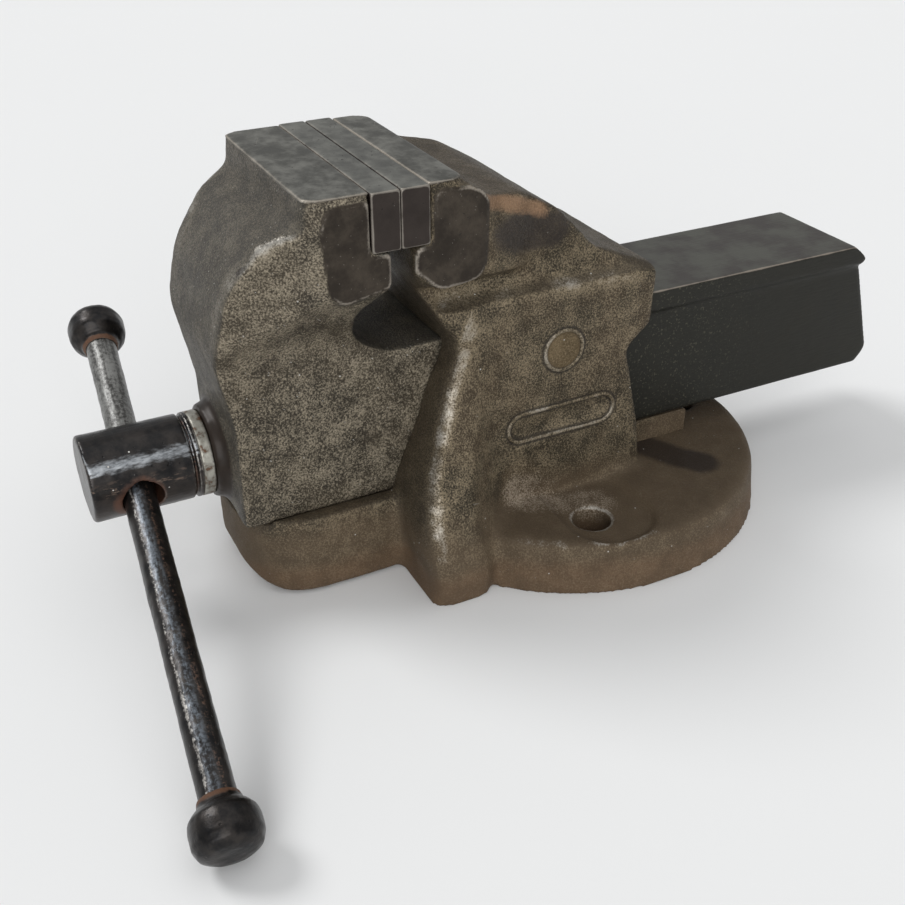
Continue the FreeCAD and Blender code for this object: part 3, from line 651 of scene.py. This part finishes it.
class Finish:
    """One material and the nodes it is made of."""

    def __init__(self, name, **shader):
        self.material = bpy.data.materials.new(name)
        self.material.use_nodes = True
        self.nodes = self.material.node_tree.nodes
        self.links = self.material.node_tree.links
        self.nodes.clear()
        output = self.nodes.new("ShaderNodeOutputMaterial")
        self.shader = self.nodes.new("ShaderNodeBsdfPrincipled")
        self.links.new(self.shader.outputs[0], output.inputs[0])
        for socket, value in shader.items():
            self.shader.inputs[socket.replace("_", " ")].default_value = value
        coordinates = self.nodes.new("ShaderNodeTexCoord")
        self.place = Value(self, coordinates.outputs["Object"])
        self.normal = Value(self, coordinates.outputs["Normal"])

    def node(self, kind, settings, sockets, output=0):
        """Adds a node: settings first, then the values or links of its sockets."""
        node = self.nodes.new(kind)
        for name, value in settings.items():
            setattr(node, name, value)
        for name, value in sockets.items():
            if isinstance(value, Value):
                self.links.new(value.socket, node.inputs[name])
            else:
                node.inputs[name].default_value = value
        return Value(self, node.outputs[output])

    def noise(self, size, detail=3.0, roughness=0.55, place=None, distortion=0.0):
        """Noise from 0 to 1 whose features are about size metres across."""
        return self.node("ShaderNodeTexNoise", {}, {
            "Vector": place or self.place, "Scale": 1 / size, "Detail": detail,
            "Roughness": roughness, "Distortion": distortion})

    def pebbles(self, size, place=None):
        """0 in the middle of each pebble, rising to its rim."""
        return self.node("ShaderNodeTexVoronoi", {"feature": "F1"}, {
            "Vector": place or self.place, "Scale": 1 / size})

    def stretched(self, turn, scale):
        """The place turned by an Euler rotation, then scaled along each axis."""
        turned = self.node("ShaderNodeMapping", {"vector_type": "POINT"},
                           {"Vector": self.place, "Rotation": turn})
        return self.node("ShaderNodeMapping", {"vector_type": "POINT"},
                         {"Vector": turned, "Scale": scale})

    def scratches(self, turn, width, length, spacing):
        """Separate fine lines in one direction, each about length long."""
        angles = [math.radians(angle) for angle in turn]
        wander = self.noise(length, detail=1.0)
        place = self.stretched(angles, (width / length, 1, 1))
        moved = self.node("ShaderNodeVectorMath", {"operation": "MULTIPLY_ADD"},
                          {0: wander, 1: (0, 0.25 * length, 0.25 * length), 2: place})
        return 1 - self.step(self.pebbles(spacing, moved), 0.3 * width / spacing,
                             0.9 * width / spacing)

    def spots(self, size, spacing):
        """Small round spots, far apart."""
        return 1 - self.step(self.pebbles(spacing), 0.4 * size / spacing, 0.6 * size / spacing)

    def step(self, value, low, high):
        """Rises smoothly from 0 at low to 1 at high."""
        return self.node("ShaderNodeMapRange", {"interpolation_type": "SMOOTHSTEP"},
                         {"Value": value, "From Min": low, "From Max": high})

    def band(self, value, middle, reach):
        """1 at the middle value, 0 further than reach from it."""
        return 1 - self.step(abs(value - middle), 0, reach)

    def painted(self, name):
        return self.node("ShaderNodeAttribute", {"attribute_name": name}, {}, output="Fac")

    def axis(self, source, output):
        return self.node("ShaderNodeSeparateXYZ", {}, {"Vector": source}, output=output)

    def along(self, direction):
        """Distance from the origin along a direction."""
        return self.node("ShaderNodeVectorMath", {"operation": "DOT_PRODUCT"},
                         {0: self.place, 1: direction}, output="Value")

    def mix(self, first, second, share):
        """Colour between two colours."""
        sockets = {0: share}
        for place, colour in ((6, first), (7, second)):
            sockets[place] = colour if isinstance(colour, Value) else (*colour, 1)
        return self.node("ShaderNodeMix", {"data_type": "RGBA"}, sockets, output=2)

    def over(self, under, top, share):
        """One layer laid over another where share is 1."""
        numbers = [low + (high - low) * share for low, high in zip(under[1:], top[1:])]
        return Layer(self.mix(under.colour, top.colour, share), *numbers)

    def bump(self, height, depth):
        return self.node("ShaderNodeBump", {}, {"Distance": depth, "Height": height})

    def connect(self, layer, depth):
        """Joins a layer to the shader, its relief as a bump of the given depth."""
        sockets = self.shader.inputs
        self.links.new(self.bump(layer.relief, depth).socket, sockets["Normal"])
        for name in ("colour", "roughness", "metallic"):
            value = getattr(layer, name)
            socket = sockets["Base Color" if name == "colour" else name.capitalize()]
            if isinstance(value, Value):
                self.links.new(value.socket, socket)
            else:
                socket.default_value = value
        return self.material


def sand_cast(skin, colours, rusty_below):
    """Fine pale grains on a dark oily skin, bright where hands and work rub it, with painted shade
    in hollows and along the shade lines, and painted highlight on the ledge and the marks' beads.
    """
    edge, nook, scuff_and_highlight = (skin.painted(mark) for mark in ("edge", "nook", "scuff_and_highlight"))
    height = skin.axis(skin.place, "Z")
    grain = skin.noise(0.95 * MM, detail=2.5, roughness=0.6, distortion=0.3)
    cloud = skin.noise(13 * MM, detail=5.0, roughness=0.6)
    patches = skin.noise(45 * MM, detail=4.0)
    sideways = skin.step(abs(skin.axis(skin.normal, "X")), 0.50, 0.85)

    colour = skin.mix(colours.dark, colours.warm, skin.step(patches, 0.42, 0.60))
    colour = skin.mix(colour, colours.front, 0.75 * (1 - sideways))
    # Pale grains, a little more where scuffed and where the ledge and beads get painted highlight.
    specks = skin.step(grain + 0.50 * cloud + 0.10 * scuff_and_highlight, 0.61, 1.00)
    colour = skin.mix(colour, colours.speck, specks * (0.30 + 0.62 * sideways))
    low = skin.step((rusty_below - height) * 30 + patches, 0.35, 1.0)
    brown = skin.mix((0.060, 0.041, 0.024), (0.145, 0.102, 0.061), 0.35 * grain + 0.65 * cloud)
    colour = skin.mix(colour, brown, 0.78 * low * (1 - 0.4 * specks))
    foot = skin.step((rusty_below - 0.028 - height) * 70 + patches, 0.35, 1.2)
    colour = skin.mix(colour, (0.150, 0.082, 0.042), 0.65 * foot * cloud)
    dust = skin.step(0.8 * skin.painted("dust") + 0.9 * cloud + 1.6 * grain, 1.80, 2.30)
    colour = skin.mix(colour, (0.38, 0.32, 0.25), 0.6 * dust)
    # Painted shade and shadow along the shade lines: in the throat, beside the slide, by the rear
    # pad and in the shoulder's slot flaw.
    shade = skin.step(skin.painted("shade") + 0.6 * cloud, 0.55, 1.15)
    colour = skin.mix(colour, (0.022, 0.016, 0.013), 0.85 * shade)
    # Painted shade: darker in hollows and inner corners, and along the marks' beads.
    painted_hollow_shade = skin.step(nook + 0.3 * cloud + 1.2 * skin.painted("oil_and_bead_shade"), 0.5, 1.1)
    colour = skin.mix(colour, (0.026, 0.021, 0.016), 0.75 * painted_hollow_shade)
    copper = skin.step(skin.painted("copper") + 0.7 * cloud + 0.5 * grain, 1.05, 1.75)
    colour = skin.mix(colour, (0.330, 0.195, 0.110), 0.75 * copper)
    gilt = skin.step(skin.painted("gilt"), 0.15, 0.4) * (0.3 + 0.6 * cloud)
    colour = skin.mix(colour, (0.190, 0.130, 0.060), 0.75 * gilt)

    # Bright on worn edges and rubbed zones, plus painted highlight on the ledge and the marks'
    # beads.
    wear_and_highlight = edge * (0.14 + 0.9 * skin.painted("rub")) + 0.34 * scuff_and_highlight
    bright = skin.step(wear_and_highlight + 1.1 * cloud + 0.7 * grain, 1.25, 1.80)
    colour = skin.mix(colour, (0.44, 0.42, 0.38), 0.85 * bright)
    splash = skin.spots(0.9 * MM, 13 * MM)
    colour = skin.mix(colour, (0.62, 0.60, 0.56), 0.8 * splash)
    roughness = 0.55 - 0.12 * specks - 0.14 * bright + 0.17 * low - 0.22 * shade
    metallic = 0.25 + 0.45 * bright - 0.20 * low
    relief = (grain + 0.4 * cloud) * (1 - 0.4 * bright) * (1 - 0.4 * shade)
    return Layer(colour, roughness, metallic, relief)


def scored(skin, layer, spacing, brightness):
    """Three directions of fine scratches over a layer."""
    marks = 0.0
    for turn, width, length in (((20, 35, 50), 0.40 * MM, 20 * MM),
                                ((65, -20, 115), 0.34 * MM, 13 * MM),
                                ((-40, 60, 15), 0.50 * MM, 9 * MM)):
        marks = marks + skin.scratches(turn, width, length, spacing) * (brightness / 0.6)
    top = Layer((0.46, 0.44, 0.40), 0.35, 0.5, 0.45)
    return skin.over(layer, top, 0.6 * marks)


def ground_flat(skin):
    """Ground tops, satin grey-green and stained; brown oiled pads at the ends."""
    edge = skin.painted("edge")
    stain = skin.noise(15 * MM, detail=5.0, roughness=0.65)
    grain = skin.noise(1.1 * MM, detail=2.0)
    top = skin.mix((0.078, 0.077, 0.067), (0.205, 0.203, 0.182), skin.step(stain, 0.36, 0.66))
    pad = skin.mix((0.021, 0.015, 0.010), (0.056, 0.044, 0.032), skin.step(stain, 0.35, 0.7))
    end = skin.step(abs(skin.axis(skin.normal, "X")), 0.6, 0.8)
    colour = skin.mix(top, pad, end)
    rub = (skin.scratches((0, 0, 25), 0.35 * MM, 16 * MM, 4.0 * MM)
           + skin.scratches((70, 10, 0), 0.35 * MM, 14 * MM, 3.2 * MM))
    colour = skin.mix(colour, (0.27, 0.25, 0.22), 0.45 * rub)
    pocks = skin.step(skin.noise(2.6 * MM, detail=2.0), 0.70, 0.78)
    colour = skin.mix(colour, (0.018, 0.015, 0.012), 0.8 * pocks)
    rim = skin.step(edge + 0.4 * grain + 0.7 * stain, 0.90, 1.45)
    colour = skin.mix(colour, (0.36, 0.32, 0.27), 0.75 * rim)
    relief = 0.12 * grain - 0.35 * pocks - 0.1 * rub
    return Layer(colour, 0.34 + 0.22 * stain, 0.60 - 0.25 * end, relief)


def planed_slide(skin):
    """The planed slide: old grey oil on top, near black on its sides."""
    stain = skin.noise(20 * MM, detail=5.0, roughness=0.6)
    drawn = skin.noise(1.6 * MM, detail=3.0, place=skin.stretched((0, 0, 0), (1, 0.15, 1)))
    up = skin.step(skin.axis(skin.normal, "Z"), 0.5, 0.9)
    side = skin.mix((0.009, 0.009, 0.007), (0.022, 0.021, 0.016), stain + 0.4 * drawn)
    top = skin.mix((0.056, 0.050, 0.046), (0.088, 0.088, 0.076), skin.step(stain, 0.35, 0.65))
    near_body = 1 - skin.step(skin.axis(skin.place, "Y"), 0.06, 0.15)
    flecks = skin.step(skin.noise(1.5 * MM, detail=2.0, distortion=0.5), 0.58, 0.72)
    side = skin.mix(side, (0.105, 0.100, 0.070), 0.55 * flecks * near_body)
    colour = skin.mix(side, top, up)
    line = skin.step(skin.painted("edge") * (0.2 + skin.painted("rub")) + 0.9 * stain, 0.85, 1.35)
    colour = skin.mix(colour, (0.36, 0.31, 0.26), 0.8 * line)
    return Layer(colour, 0.36 + 0.25 * stain, 0.35 + 0.3 * line, 0.25 * drawn + 0.15 * stain)


BODY_COLOURS = CastColours(dark=(0.028, 0.022, 0.013), warm=(0.050, 0.035, 0.020),
                           speck=(0.270, 0.215, 0.138), front=(0.046, 0.036, 0.024))
JAW_COLOURS = CastColours(dark=(0.032, 0.026, 0.018), warm=(0.048, 0.038, 0.025),
                          speck=(0.350, 0.300, 0.220), front=(0.048, 0.045, 0.039))


def cast_iron(name, colours, rusty_below, spacing, brightness, with_slide=False):
    """Everything that a casting shows: its sand-cast skin, its ground flats and its slide."""
    skin = Finish(name, Specular_IOR_Level=0.32)
    layer = sand_cast(skin, colours, rusty_below)
    layer = scored(skin, layer, spacing, brightness)
    layer = skin.over(layer, ground_flat(skin), skin.painted("ground"))
    if with_slide:
        oil_and_bead_shade = skin.mix((0.010, 0.007, 0.005), (0.030, 0.020, 0.014), skin.noise(8 * MM))
        layer = skin.over(layer, Layer(oil_and_bead_shade, 0.40, 0.2, 0.2), skin.painted("boss"))
        behind = skin.step(skin.axis(skin.place, "Y"), SLIDE_START - 14 * MM, SLIDE_START)
        layer = skin.over(layer, planed_slide(skin), behind)
    return skin.connect(layer, 0.8 * MM)


def plate_steel():
    """Jaw plates: satin grey-green on top, dark at the ends, thin pale edges."""
    steel = Finish("plate_steel", Specular_IOR_Level=0.5)
    up = steel.step(steel.axis(steel.normal, "Z"), 0.5, 0.9)
    stain = steel.noise(12 * MM, detail=5.0, roughness=0.62)
    grain = steel.noise(0.9 * MM, detail=2.0)
    top = steel.mix((0.098, 0.098, 0.088), (0.190, 0.190, 0.170), steel.step(stain, 0.3, 0.7))
    side = steel.mix((0.018, 0.013, 0.011), (0.042, 0.031, 0.025), stain)
    colour = steel.mix(side, top, up)
    lines = steel.scratches((0, 0, 8), 0.3 * MM, 30 * MM, 4 * MM)
    colour = steel.mix(colour, (0.30, 0.29, 0.27), 0.5 * lines)
    pocks = steel.step(steel.noise(2.2 * MM, detail=1.0), 0.71, 0.78)
    colour = steel.mix(colour, (0.02, 0.016, 0.013), pocks)
    edge = steel.step(steel.painted("edge") + 0.7 * stain, 0.75, 1.25)
    colour = steel.mix(colour, (0.32, 0.29, 0.25), 0.7 * edge)
    layer = Layer(colour, 0.36 + 0.22 * stain, 0.70 - 0.3 * stain, 0.15 * grain - 0.35 * pocks)
    return steel.connect(layer, 0.4 * MM)


def forged_black(steel, stain, grain, bright, rusty):
    """Oil-blackened forged steel with bright rubs and rust in its hollows."""
    colour = steel.mix((0.010, 0.010, 0.011), (0.038, 0.033, 0.030), steel.step(stain, 0.3, 0.72))
    oxide = steel.step(steel.painted("nook") + 0.8 * stain + rusty, 1.0, 1.3)
    colour = steel.mix(colour, (0.105, 0.048, 0.026), 0.75 * oxide)
    rubbed = steel.step(steel.painted("edge") + 0.9 * stain + 0.5 * grain + bright, 1.30, 1.65)
    colour = steel.mix(colour, (0.44, 0.42, 0.39), 0.85 * rubbed)
    pocks = steel.step(steel.noise(2.8 * MM, detail=1.5), 0.70, 0.78)
    colour = steel.mix(colour, (0.010, 0.009, 0.009), pocks)
    roughness = 0.26 + 0.16 * stain + 0.28 * oxide + 0.12 * rubbed
    return Layer(colour, roughness, 0.75 - 0.5 * oxide, 0.25 * grain - 0.5 * pocks)


def head_steel():
    """Screw head: glossy black above with one painted highlight streak on its near side, darker
    and rustier brown towards the bottom.
    """
    steel = Finish("head_steel", Specular_IOR_Level=0.4, Coat_Roughness=0.16, Coat_Weight=0.15)
    stain = steel.noise(9 * MM, detail=5.0, roughness=0.62)
    drawn = steel.noise(1.6 * MM, detail=4.0, roughness=0.65,
                        place=steel.stretched((0, 0, 0), (1, 0.30, 1)))
    up = steel.axis(steel.normal, "Z")
    near_side = steel.step(steel.axis(steel.normal, "X"), 0.0, 0.5)
    # Painted highlight: a bright band on the upper near side of the head.
    painted_highlight_streak = steel.band(up, 0.62, 0.26) * near_side
    below = steel.step(0.35 - up + 0.5 * stain, 0.3, 1.0)
    layer = forged_black(steel, stain, drawn, 0.0, 0.30 * below)
    brown = Layer(steel.mix((0.006, 0.004, 0.003), (0.030, 0.019, 0.013), stain), 0.36, 0.2,
                  0.2 * drawn)
    layer = steel.over(layer, brown, 0.8 * below)
    shine = Layer(steel.mix((0.16, 0.18, 0.20), (0.66, 0.69, 0.72), drawn), 0.30, 0.5, 0.3 * drawn)
    layer = steel.over(layer, shine, 0.8 * painted_highlight_streak * steel.step(drawn + 0.6 * painted_highlight_streak, 0.72, 1.20))
    warm = Layer((0.150, 0.105, 0.080), 0.45, 0.4, 0.3 * drawn)
    layer = steel.over(layer, warm, steel.band(up, 0.15, 0.25) * near_side
                       * steel.step(drawn + 0.4 * stain, 0.70, 0.88))
    rust = Layer((0.085, 0.036, 0.020), 0.6, 0.1, 0.4 * drawn)
    layer = steel.over(layer, rust, steel.step(steel.painted("collar") + 0.8 * stain, 1.05, 1.50))
    splash = Layer((0.62, 0.60, 0.56), 0.6, 0.0, 0.3)
    layer = steel.over(layer, splash, steel.spots(0.9 * MM, 9 * MM))
    return steel.connect(layer, 0.5 * MM)


def bar_steel():
    """Tommy bar: worn grey at its upper end, blue-black with drawn streaks below, and a painted
    highlight along the side facing -Y.
    """
    steel = Finish("bar_steel", Specular_IOR_Level=0.5, Coat_Roughness=0.2, Coat_Weight=0.2)
    stain = steel.noise(8 * MM, detail=5.0, roughness=0.65)
    turn = BAR_AXIS.rotation_difference(Vector((1, 0, 0))).to_euler()
    drawn = steel.noise(3.2 * MM, detail=4.0, roughness=0.65,
                        place=steel.stretched(turn, (0.10, 1, 1)))
    mottle = steel.noise(1.8 * MM, detail=3.0, roughness=0.65)
    side = steel.axis(steel.normal, "Y")
    middle = BAR_AXIS.dot(SCREW_AXIS)
    upper = steel.step(middle - steel.along(BAR_AXIS), -5 * MM, 15 * MM)

    layer = forged_black(steel, stain, mottle, 0.0, 0.0)
    blue = Layer(steel.mix((0.030, 0.035, 0.042), (0.170, 0.195, 0.225), mottle), 0.3, 0.5,
                 0.3 * mottle)
    layer = steel.over(layer, blue, steel.band(side, -0.15, 0.5)
                       * steel.step(drawn + 0.8 * mottle, 0.78, 1.05))
    # Silver drawn lines, strongest in a band on the side facing -Y, which is painted highlight.
    silver = Layer((0.42, 0.40, 0.37), 0.38, 0.6, 0.35)
    lines = steel.step(0.7 * drawn + 0.35 * steel.band(side, -0.55, 0.22) + 0.7 * mottle,
                       0.95, 1.15)
    layer = steel.over(layer, silver, 0.7 * lines)
    copper = Layer((0.230, 0.140, 0.100), 0.42, 0.5, 0.3)
    layer = steel.over(layer, copper, 0.6 * steel.band(side, 0.38, 0.24)
                       * steel.step(mottle + 0.5 * drawn, 0.74, 0.95))
    worn = Layer(steel.mix((0.035, 0.033, 0.030), (0.215, 0.215, 0.205),
                           steel.step(mottle * 0.6 + drawn * 0.6 + 0.2 * stain, 0.55, 0.82)),
                 0.42, 0.5, 0.4 * mottle)
    layer = steel.over(layer, worn, upper)
    return steel.connect(layer, 0.5 * MM)


def knob_steel():
    """Knobs: black with worn silver patches, rusty round the bar."""
    steel = Finish("knob_steel", Specular_IOR_Level=0.35, Coat_Roughness=0.18, Coat_Weight=0.1)
    stain = steel.noise(7 * MM, detail=5.0, roughness=0.65)
    grain = steel.noise(1.6 * MM, detail=3.0, roughness=0.6)
    layer = forged_black(steel, stain, grain, 0.12, 0.0)
    rust = Layer(steel.mix((0.060, 0.028, 0.016), (0.150, 0.070, 0.034), grain), 0.75, 0.05,
                 0.5 * grain)
    collar = steel.step(steel.painted("collar") + 0.9 * stain, 0.9, 1.3)
    layer = steel.over(layer, rust, 0.9 * collar)
    return steel.connect(layer, 0.5 * MM)


def washer_steel():
    """Thrust washer: turned steel, bright in the middle and rusty at its rim."""
    steel = Finish("washer_steel", Specular_IOR_Level=0.5)
    stain = steel.noise(5 * MM, detail=4.0)
    grain = steel.noise(0.9 * MM, detail=2.0)
    colour = steel.mix((0.42, 0.41, 0.36), (0.17, 0.155, 0.13), steel.step(stain, 0.35, 0.65))
    colour = steel.mix(colour, (0.125, 0.068, 0.040), steel.step(stain + 0.4 * grain, 0.72, 0.86))
    return steel.connect(Layer(colour, 0.28 + 0.3 * stain, 0.75 - 0.2 * stain, grain), 0.15 * MM)


def oily_steel(name, dark, light):
    """Inner steel pieces under old oil."""
    steel = Finish(name, Specular_IOR_Level=0.5)
    stain = steel.noise(6 * MM, detail=4.0)
    grain = steel.noise(0.7 * MM, detail=2.0)
    layer = Layer(steel.mix(dark, light, stain), 0.3 + 0.3 * stain, 0.6 + 0.2 * stain, grain)
    return steel.connect(layer, 0.1 * MM)


# ---- stage ----

def pale_floor():
    shape = bmesh.new()
    bmesh.ops.create_grid(shape, x_segments=8, y_segments=8, size=FLOOR_HALF)
    floor = finished_mesh("floor", shape)
    paper = Finish("pale_paper", Specular_IOR_Level=0.0)
    cloud = paper.noise(PAPER_CLOUD)
    tone = paper.mix((0.795, 0.80, 0.80), (0.805, 0.81, 0.81), cloud)
    floor.data.materials.append(paper.connect(Layer(tone, 0.95, 0.0, cloud), PAPER_DEPTH))


def soft_sun(name, towards, spread, strength):
    """Even light from one direction; spread is how large its source looks, in degrees."""
    lamp = bpy.data.lights.new(name, "SUN")
    lamp.angle = math.radians(spread)
    lamp.energy = strength
    light = bpy.data.objects.new(name, lamp)
    light.location = towards
    light.rotation_euler = Vector(towards).to_track_quat("Z", "Y").to_euler()
    bpy.context.collection.objects.link(light)


def studio():
    world = bpy.data.worlds.new("studio")
    world.use_nodes = True
    sky = world.node_tree.nodes["Background"].inputs
    sky["Color"].default_value = SKY_COLOUR
    sky["Strength"].default_value = SKY_STRENGTH
    bpy.context.scene.world = world
    for name, towards, spread, strength in SUNS:
        soft_sun(name, towards, spread, strength)


def photographer():
    lens = bpy.data.cameras.new("camera")
    lens.lens = CAMERA_LENS
    lens.sensor_width = 36.0
    camera = bpy.data.objects.new("camera", lens)
    camera.location = CAMERA_PLACE
    camera.rotation_euler = (math.radians(90 - CAMERA_DROP), 0, math.radians(CAMERA_TURN))
    bpy.context.collection.objects.link(camera)
    bpy.context.scene.camera = camera
    bpy.context.scene.view_settings.view_transform = "Standard"


# ---- assembly ----

def place_piece(piece, body, material, slot, *replaced):
    piece.data.materials.clear()
    piece.data.materials.append(material)
    if replaced:
        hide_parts(*replaced)
    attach(piece, body)


def iron_pieces():
    body_iron = cast_iron("body_iron", BODY_COLOURS, rusty_below=50 * MM, spacing=9 * MM,
                          brightness=0.35)
    jaw_iron = cast_iron("jaw_iron", JAW_COLOURS, rusty_below=-100 * MM, spacing=5.5 * MM,
                         brightness=0.8, with_slide=True)
    body = body_casting()
    place_piece(body, "base", body_iron, "body_iron", "static_body")
    for mark in cheek_marks(body):
        place_piece(mark, "base", body_iron, "body_iron")
    keeper = node_copy("keeper", "slide_keeper")
    bevelled(keeper, 1.2 * MM)
    place_piece(keeper, "base", body_iron, "body_iron", "slide_keeper")
    place_piece(jaw_casting(), "front_jaw", jaw_iron, "jaw_iron", "sliding_jaw")


def plate_pieces():
    steel = plate_steel()
    for name, node, rides in (("front_plate", "front_jaw_plate", "front_jaw"),
                              ("rear_plate", "rear_jaw_plate", "base")):
        piece = softened(node_copy(name, node), PLATE_VOXEL, 3, 0.05 * MM)
        place_piece(piece, rides, steel, "jaw_plate_steel", node)


def screw_pieces():
    black = head_steel()
    place_piece(screw_head(), "screw", black, "screw_steel", "main_screw")
    place_piece(screw_thread(), "screw", black, "screw_steel")
    washer = softened(node_copy("washer", "thrust_washer"), PLATE_VOXEL, 2, 0.12 * MM)
    place_piece(washer, "screw", washer_steel(), "washer_steel", "thrust_washer")
    knobs = knob_steel()
    place_piece(tommy_bar(), "handle", bar_steel(), "bar_steel", "tommy_bar")
    place_piece(knob("knob_low", "lower_knob"), "handle", knobs, "bar_steel", "lower_knob")
    place_piece(knob("knob_high", "upper_knob"), "handle", knobs, "bar_steel", "upper_knob")


def inner_pieces():
    """CAD pieces that keep their own shape and get an oily finish."""
    fastener = oily_steel("fastener_steel", (0.06, 0.055, 0.05), (0.20, 0.19, 0.17))
    nut_iron = oily_steel("nut_iron", (0.09, 0.08, 0.07), (0.20, 0.18, 0.16))
    spring_wire = oily_steel("spring_wire", (0.10, 0.10, 0.11), (0.30, 0.30, 0.31))
    finishes = {
        fastener: ("nut_bolts", "nut_dowels", "keeper_screws", "front_plate_screws",
                   "rear_plate_screws", "collar_pin", "nut_bolt_washers", "spring_seat_washer"),
        nut_iron: ("main_nut", "retaining_collar"),
        spring_wire: ("take_up_spring",),
    }
    for material, nodes in finishes.items():
        for node in nodes:
            mesh = frame["nodes"][node].data
            mesh.materials.clear()
            mesh.materials.append(material)


def main():
    photographer()
    studio()
    pale_floor()
    iron_pieces()
    plate_pieces()
    screw_pieces()
    inner_pieces()


main()
